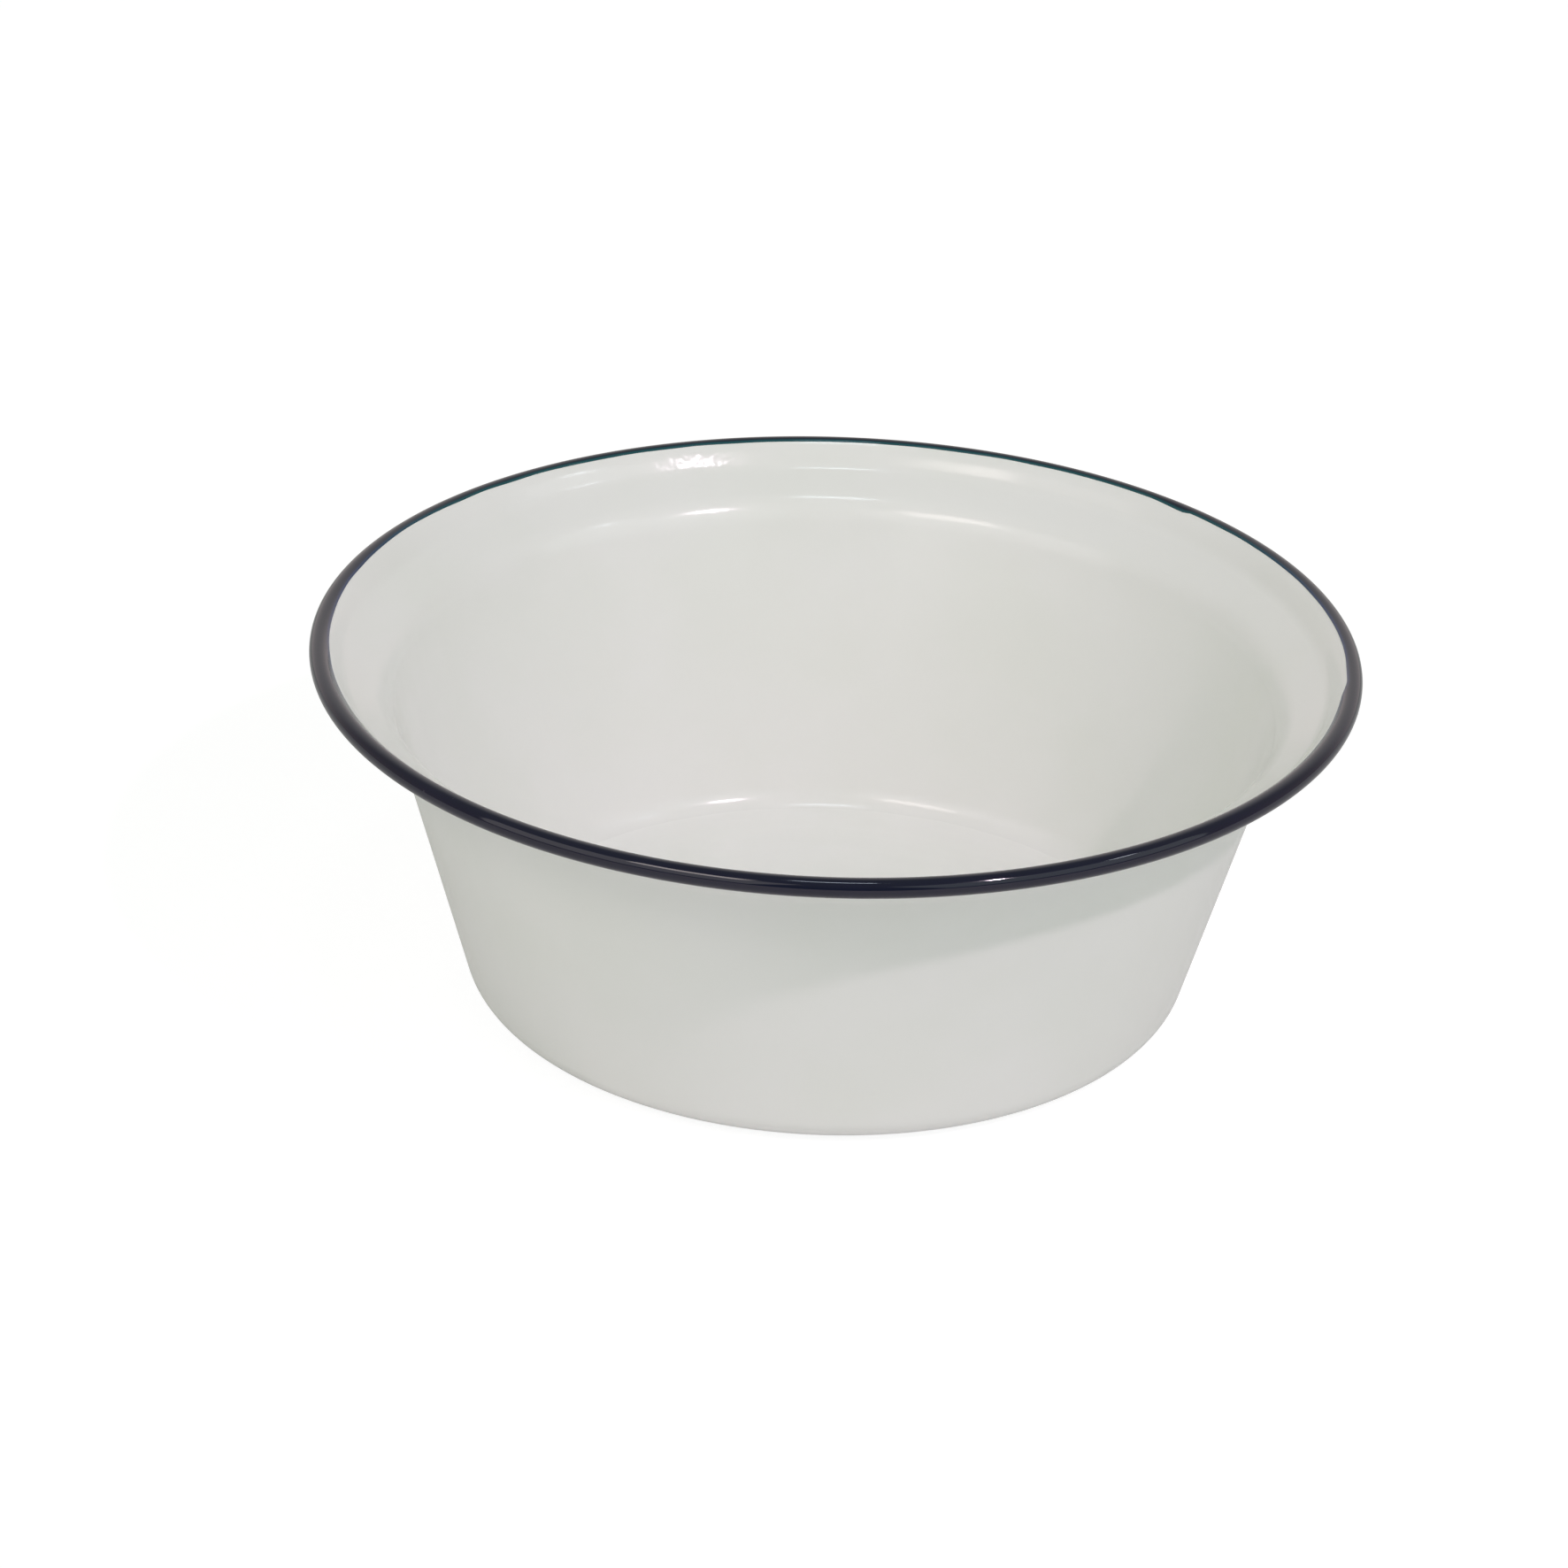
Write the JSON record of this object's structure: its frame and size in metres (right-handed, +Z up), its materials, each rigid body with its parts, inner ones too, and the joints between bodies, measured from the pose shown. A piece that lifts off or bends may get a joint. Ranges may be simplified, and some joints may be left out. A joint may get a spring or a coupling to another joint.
{
  "type": "enamel basin bowl",
  "caption": "Round enamelled steel basin with sloping wall, shouldered flange, rolled dark blue rim and a flat standing ring, for washing or serving.",
  "frame": {"origin": "on the ground under the middle of the base, on the bowl's axis", "axes": "+Z up along the bowl's axis; the bowl is round, so +X and +Y are any two level directions"},
  "size_m": [0.32, 0.32, 0.114],
  "materials": {
    "steel": "drawn sheet, covered all over",
    "ground_enamel": "dark ground coat",
    "white_enamel": "glossy white cover coat",
    "blue_enamel": "glossy dark blue rim band"
  },
  "bodies": {
    "root": {"steel_bowl": "steel", "ground_coat_inside": "ground_enamel", "ground_coat_outside": "ground_enamel", "white_coat_inside": "white_enamel", "white_coat_outside": "white_enamel", "rim_band": "blue_enamel"}
  },
  "joints": []
}
